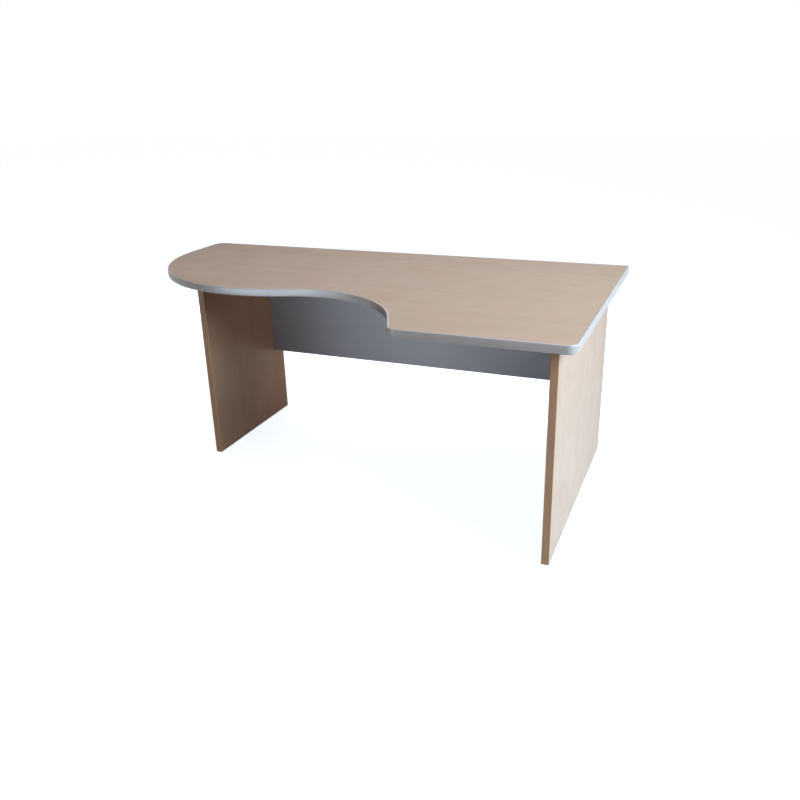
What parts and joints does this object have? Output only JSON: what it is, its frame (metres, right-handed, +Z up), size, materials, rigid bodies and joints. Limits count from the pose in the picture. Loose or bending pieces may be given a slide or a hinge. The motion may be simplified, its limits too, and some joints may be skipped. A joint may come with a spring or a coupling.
{
  "type": "computer desk",
  "caption": "Free-standing office desk with a swept, concave-fronted worktop, slab legs and a modesty panel, held by hidden cam fittings.",
  "frame": {"origin": "on the floor, under the middle of the desktop's outline", "axes": "+X to the right of someone who sits at the desk, +Y towards the modesty panel and the straight back edge, +Z up"},
  "size_m": [1.8, 1.02, 0.7459],
  "materials": {
    "laminate": "pale wood-grain melamine, satin",
    "edging_grey": "soft silver-grey edging",
    "beech": "pale beech melamine, satin",
    "beech_band": "beech edge band, satin",
    "panel_grey": "blue-grey melamine, satin",
    "panel_band": "blue-grey edge band, satin",
    "zinc": "die-cast zinc, dull",
    "steel": "zinc-plated steel",
    "dowel_beech": "bare turned beech",
    "glide_plastic": "black plastic"
  },
  "bodies": {
    "desk": {"desktop_board": "laminate", "desktop_edging": "edging_grey", "left_leg_panel": "beech", "left_leg_front_edge_band": "beech_band", "left_leg_rear_edge_band": "beech_band", "left_leg_bottom_edge_band": "beech_band", "right_leg_panel": "beech", "right_leg_front_edge_band": "beech_band", "right_leg_rear_edge_band": "beech_band", "right_leg_bottom_edge_band": "beech_band", "modesty_panel": "panel_grey", "modesty_bottom_edge_band": "panel_band", "left_leg_front_bolt": "steel", "left_leg_rear_bolt": "steel", "right_leg_front_bolt": "steel", "right_leg_rear_bolt": "steel", "modesty_left_upper_bolt": "steel", "modesty_left_lower_bolt": "steel", "modesty_right_upper_bolt": "steel", "modesty_right_lower_bolt": "steel", "modesty_top_left_bolt": "steel", "modesty_top_right_bolt": "steel", "left_leg_front_dowel": "dowel_beech", "left_leg_rear_dowel": "dowel_beech", "right_leg_front_dowel": "dowel_beech", "right_leg_middle_dowel": "dowel_beech", "right_leg_rear_dowel": "dowel_beech", "modesty_left_upper_dowel": "dowel_beech", "modesty_left_lower_dowel": "dowel_beech", "modesty_right_upper_dowel": "dowel_beech", "modesty_right_lower_dowel": "dowel_beech", "modesty_top_left_dowel": "dowel_beech", "modesty_top_right_dowel": "dowel_beech", "left_leg_front_glide": "glide_plastic", "left_leg_rear_glide": "glide_plastic", "right_leg_front_glide": "glide_plastic", "right_leg_rear_glide": "glide_plastic", "left_leg_front_nail": "steel", "left_leg_rear_nail": "steel", "right_leg_front_nail": "steel", "right_leg_rear_nail": "steel"},
    "left_leg_front_cam": {"left_leg_front_cam": "zinc"},
    "left_leg_rear_cam": {"left_leg_rear_cam": "zinc"},
    "right_leg_front_cam": {"right_leg_front_cam": "zinc"},
    "right_leg_rear_cam": {"right_leg_rear_cam": "zinc"},
    "modesty_left_upper_cam": {"modesty_left_upper_cam": "zinc"},
    "modesty_left_lower_cam": {"modesty_left_lower_cam": "zinc"},
    "modesty_right_upper_cam": {"modesty_right_upper_cam": "zinc"},
    "modesty_right_lower_cam": {"modesty_right_lower_cam": "zinc"},
    "modesty_top_left_cam": {"modesty_top_left_cam": "zinc"},
    "modesty_top_right_cam": {"modesty_top_right_cam": "zinc"}
  },
  "joints": [
    {"name": "left_leg_front_cam_turn", "type": "hinge", "parent": "desk", "child": "left_leg_front_cam", "pos_m": [-0.606, 0.006, 0.686], "axis": [1, 0, 0], "range_deg": [0, 180]},
    {"name": "left_leg_rear_cam_turn", "type": "hinge", "parent": "desk", "child": "left_leg_rear_cam", "pos_m": [-0.606, 0.347, 0.686], "axis": [1, 0, 0], "range_deg": [0, 180]},
    {"name": "right_leg_front_cam_turn", "type": "hinge", "parent": "desk", "child": "right_leg_front_cam", "pos_m": [0.8185, -0.349, 0.686], "axis": [-1, 0, 0], "range_deg": [0, 180]},
    {"name": "right_leg_rear_cam_turn", "type": "hinge", "parent": "desk", "child": "right_leg_rear_cam", "pos_m": [0.8185, 0.347, 0.686], "axis": [-1, 0, 0], "range_deg": [0, 180]},
    {"name": "modesty_left_upper_cam_turn", "type": "hinge", "parent": "desk", "child": "modesty_left_upper_cam", "pos_m": [-0.564, 0.419, 0.6237], "axis": [0, 1, 0], "range_deg": [0, 180]},
    {"name": "modesty_left_lower_cam_turn", "type": "hinge", "parent": "desk", "child": "modesty_left_lower_cam", "pos_m": [-0.564, 0.419, 0.3622], "axis": [0, 1, 0], "range_deg": [0, 180]},
    {"name": "modesty_right_upper_cam_turn", "type": "hinge", "parent": "desk", "child": "modesty_right_upper_cam", "pos_m": [0.7765, 0.419, 0.6237], "axis": [0, 1, 0], "range_deg": [0, 180]},
    {"name": "modesty_right_lower_cam_turn", "type": "hinge", "parent": "desk", "child": "modesty_right_lower_cam", "pos_m": [0.7765, 0.419, 0.3622], "axis": [0, 1, 0], "range_deg": [0, 180]},
    {"name": "modesty_top_left_cam_turn", "type": "hinge", "parent": "desk", "child": "modesty_top_left_cam", "pos_m": [-0.23179, 0.419, 0.686], "axis": [0, 1, 0], "range_deg": [0, 180]},
    {"name": "modesty_top_right_cam_turn", "type": "hinge", "parent": "desk", "child": "modesty_top_right_cam", "pos_m": [0.44429, 0.419, 0.686], "axis": [0, 1, 0], "range_deg": [0, 180]}
  ]
}
